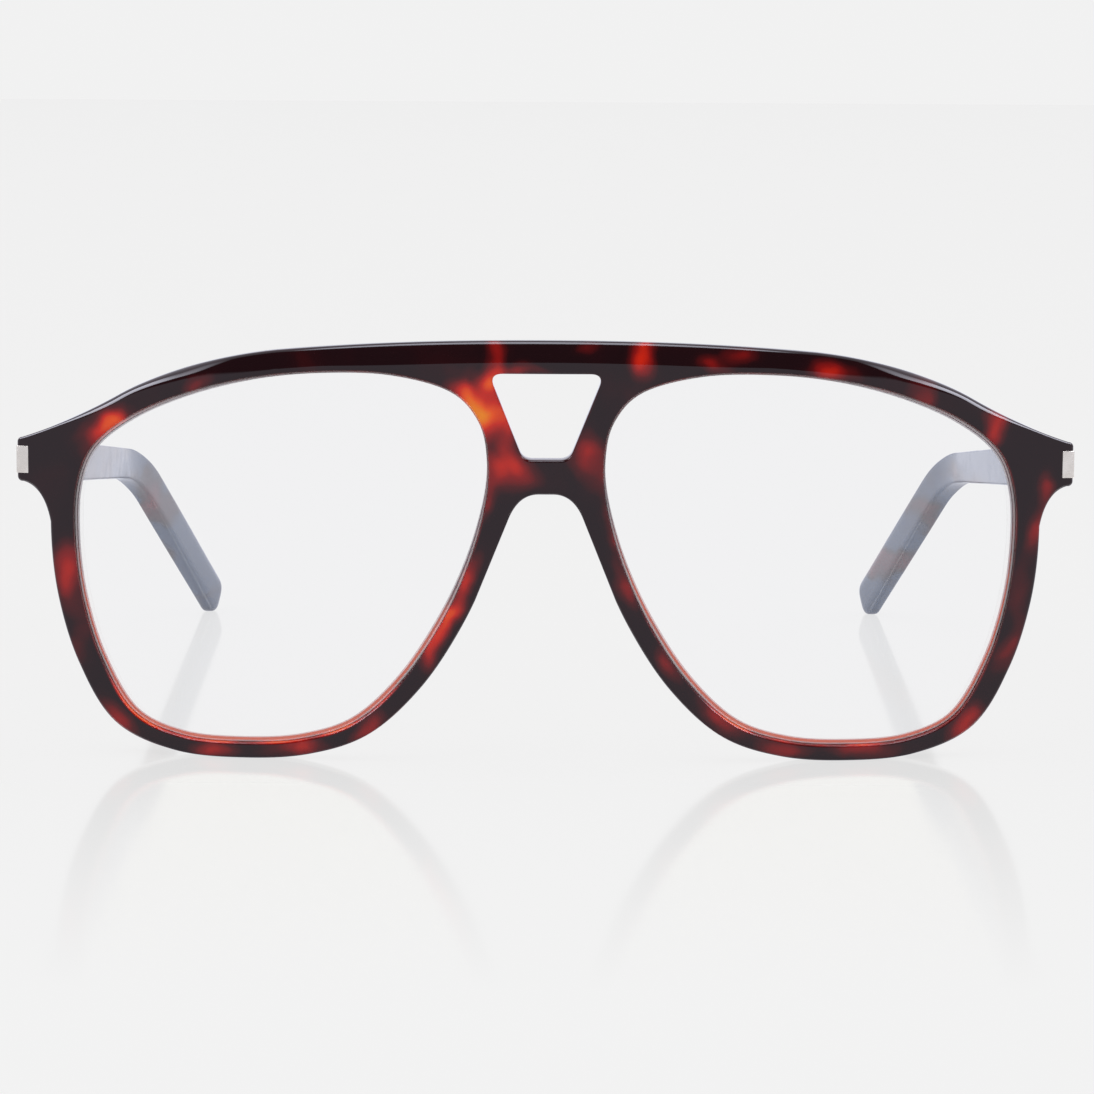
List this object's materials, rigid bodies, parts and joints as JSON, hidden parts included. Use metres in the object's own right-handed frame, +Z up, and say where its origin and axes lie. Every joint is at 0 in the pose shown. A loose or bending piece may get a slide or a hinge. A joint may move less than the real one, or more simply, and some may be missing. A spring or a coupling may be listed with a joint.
{
  "type": "aviator eyeglasses",
  "caption": "Full-rim aviator eyeglasses with a keyhole bridge, clear lenses and nose pads, corner plaques and folding bent temples, standing open.",
  "frame": {"origin": "middle of the bounding box on the surface that the open glasses stand on", "axes": "+X to the picture's right, -Y the way the front faces, +Z up; the rims' bottoms and the temples' tips touch Z = 0"},
  "size_m": [0.1476, 0.1493, 0.0584],
  "materials": {
    "acetate": "polished dark tortoiseshell acetate with amber and red flecks",
    "lens": "clear resin with a faint blue-violet anti-reflection coating",
    "clear_pad": "clear polished acetate",
    "plaque_metal": "brushed champagne plating",
    "hinge_steel": "fine brushed nickel silver",
    "washer_nylon": "natural nylon",
    "core_wire": "drawn nickel silver wire"
  },
  "bodies": {
    "front": {"front": "acetate", "lens_left": "lens", "lens_right": "lens", "nose_pad_left": "clear_pad", "nose_pad_right": "clear_pad", "corner_plaque_left": "plaque_metal", "corner_plaque_right": "plaque_metal", "front_hinge_left": "hinge_steel", "front_hinge_right": "hinge_steel", "hinge_screw_left": "hinge_steel", "hinge_screw_right": "hinge_steel", "hinge_washers_left": "washer_nylon", "hinge_washers_right": "washer_nylon"},
    "temple_left": {"temple_left": "acetate", "temple_hinge_left": "hinge_steel", "leaf_screws_left": "hinge_steel", "temple_core_left": "core_wire"},
    "temple_right": {"temple_right": "acetate", "temple_hinge_right": "hinge_steel", "leaf_screws_right": "hinge_steel", "temple_core_right": "core_wire"}
  },
  "joints": [
    {"name": "temple_fold_left", "type": "hinge", "parent": "front", "child": "temple_left", "pos_m": [-0.0679, -0.0537, 0.03969], "axis": [0, 0, -1], "range_deg": [0, 84]},
    {"name": "temple_fold_right", "type": "hinge", "parent": "front", "child": "temple_right", "pos_m": [0.0679, -0.0537, 0.03969], "axis": [0, 0, 1], "range_deg": [0, 88.5]}
  ]
}
